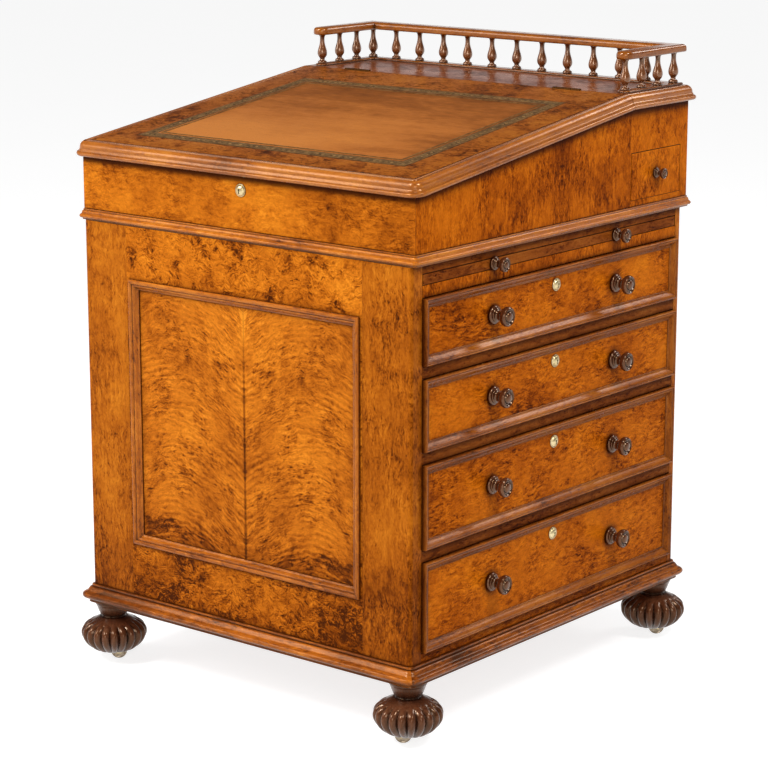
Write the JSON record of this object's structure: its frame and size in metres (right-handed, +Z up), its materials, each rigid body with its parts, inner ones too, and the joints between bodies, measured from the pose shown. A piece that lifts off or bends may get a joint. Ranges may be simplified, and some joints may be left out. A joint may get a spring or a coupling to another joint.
{
  "type": "davenport writing desk",
  "caption": "Slope-top walnut writing desk: drawer pedestal on lobed bun feet with concealed castors, sliding writing box with hinged leather-topped lid and a spindle gallery.",
  "frame": {"origin": "on the floor under the middle of the pedestal", "axes": "+Z up, -Y the front below the slope, +X the side the drawers pull out of"},
  "size_m": [0.6066, 0.6392, 0.8268],
  "materials": {
    "burr_walnut": "french polish",
    "walnut": "french polish",
    "dark_walnut": "french polish",
    "lining": "plain",
    "leather": "waxed",
    "brass": "aged lacquer"
  },
  "bodies": {
    "pedestal": {"front_frame": "burr_walnut", "front_panel": "burr_walnut", "front_panel_moulding": "walnut", "pedestal_back": "burr_walnut", "dummy_side": "burr_walnut", "pedestal_top": "walnut", "plinth": "walnut", "drawer_divider_1": "burr_walnut", "drawer_divider_2": "burr_walnut", "drawer_divider_3": "burr_walnut", "drawer_divider_4": "burr_walnut", "bun_foot_fl": "dark_walnut", "bun_foot_fr": "dark_walnut", "bun_foot_bl": "dark_walnut", "bun_foot_br": "dark_walnut"},
    "writing_box": {"box_base": "walnut", "box_front": "burr_walnut", "box_left": "burr_walnut", "box_right": "burr_walnut", "box_back": "burr_walnut", "box_top": "burr_walnut", "gallery": "walnut", "box_lock": "brass", "pen_partition": "lining", "hinge_left_fixed_leaf": "brass", "hinge_right_fixed_leaf": "brass"},
    "lid": {"lid_board": "burr_walnut", "lid_leather": "leather", "hinge_left_moving_leaf": "brass", "hinge_right_moving_leaf": "brass"},
    "pen_drawer": {"pen_drawer": "walnut"},
    "brushing_slide": {"brushing_slide": "walnut"},
    "drawer_1": {"drawer_1_front": "burr_walnut", "drawer_1_tray": "lining", "drawer_1_lock": "brass", "drawer_1_knob_front": "dark_walnut", "drawer_1_knob_back": "dark_walnut"},
    "drawer_2": {"drawer_2_front": "burr_walnut", "drawer_2_tray": "lining", "drawer_2_lock": "brass", "drawer_2_knob_front": "dark_walnut", "drawer_2_knob_back": "dark_walnut"},
    "drawer_3": {"drawer_3_front": "burr_walnut", "drawer_3_tray": "lining", "drawer_3_lock": "brass", "drawer_3_knob_front": "dark_walnut", "drawer_3_knob_back": "dark_walnut"},
    "drawer_4": {"drawer_4_front": "burr_walnut", "drawer_4_tray": "lining", "drawer_4_lock": "brass", "drawer_4_knob_front": "dark_walnut", "drawer_4_knob_back": "dark_walnut"},
    "castor_fl": {"castor_horn_fl": "brass"},
    "wheel_fl": {"castor_wheel_fl": "brass"},
    "castor_fr": {"castor_horn_fr": "brass"},
    "wheel_fr": {"castor_wheel_fr": "brass"},
    "castor_bl": {"castor_horn_bl": "brass"},
    "wheel_bl": {"castor_wheel_bl": "brass"},
    "castor_br": {"castor_horn_br": "brass"},
    "wheel_br": {"castor_wheel_br": "brass"}
  },
  "joints": [
    {"name": "writing_box_slide", "type": "slide", "parent": "pedestal", "child": "writing_box", "axis": [0, -1, 0], "range_m": [0, 0.2]},
    {"name": "lid_hinge", "type": "hinge", "parent": "writing_box", "child": "lid", "pos_m": [0, 0.156, 0.77248], "axis": [-1, 0, 0], "range_deg": [0, 100]},
    {"name": "pen_drawer_slide", "type": "slide", "parent": "writing_box", "child": "pen_drawer", "axis": [1, 0, 0], "range_m": [0, 0.18]},
    {"name": "brushing_slide_run", "type": "slide", "parent": "pedestal", "child": "brushing_slide", "axis": [1, 0, 0], "range_m": [0, 0.3]},
    {"name": "drawer_1_slide", "type": "slide", "parent": "pedestal", "child": "drawer_1", "axis": [1, 0, 0], "range_m": [0, 0.38]},
    {"name": "drawer_2_slide", "type": "slide", "parent": "pedestal", "child": "drawer_2", "axis": [1, 0, 0], "range_m": [0, 0.38]},
    {"name": "drawer_3_slide", "type": "slide", "parent": "pedestal", "child": "drawer_3", "axis": [1, 0, 0], "range_m": [0, 0.38]},
    {"name": "drawer_4_slide", "type": "slide", "parent": "pedestal", "child": "drawer_4", "axis": [1, 0, 0], "range_m": [0, 0.38]},
    {"name": "castor_fl_swivel", "type": "hinge", "parent": "pedestal", "child": "castor_fl", "pos_m": [-0.2569, -0.2754, 0], "axis": [0, 0, 1], "continuous": true},
    {"name": "wheel_fl_spin", "type": "hinge", "parent": "castor_fl", "child": "wheel_fl", "pos_m": [-0.25224, -0.27162, 0.011], "axis": [-0.6293, 0.7771, 0], "continuous": true},
    {"name": "castor_fr_swivel", "type": "hinge", "parent": "pedestal", "child": "castor_fr", "pos_m": [0.2569, -0.2754, 0], "axis": [0, 0, 1], "continuous": true},
    {"name": "wheel_fr_spin", "type": "hinge", "parent": "castor_fr", "child": "wheel_fr", "pos_m": [0.25224, -0.27918, 0.011], "axis": [0.6293, -0.7771, 0], "continuous": true},
    {"name": "castor_bl_swivel", "type": "hinge", "parent": "pedestal", "child": "castor_bl", "pos_m": [-0.2569, 0.2754, 0], "axis": [0, 0, 1], "continuous": true},
    {"name": "wheel_bl_spin", "type": "hinge", "parent": "castor_bl", "child": "wheel_bl", "pos_m": [-0.2539, 0.2702, 0.011], "axis": [0.866, 0.5, 0], "continuous": true},
    {"name": "castor_br_swivel", "type": "hinge", "parent": "pedestal", "child": "castor_br", "pos_m": [0.2569, 0.2754, 0], "axis": [0, 0, 1], "continuous": true},
    {"name": "wheel_br_spin", "type": "hinge", "parent": "castor_br", "child": "wheel_br", "pos_m": [0.26156, 0.27918, 0.011], "axis": [-0.6293, 0.7771, 0], "continuous": true}
  ]
}
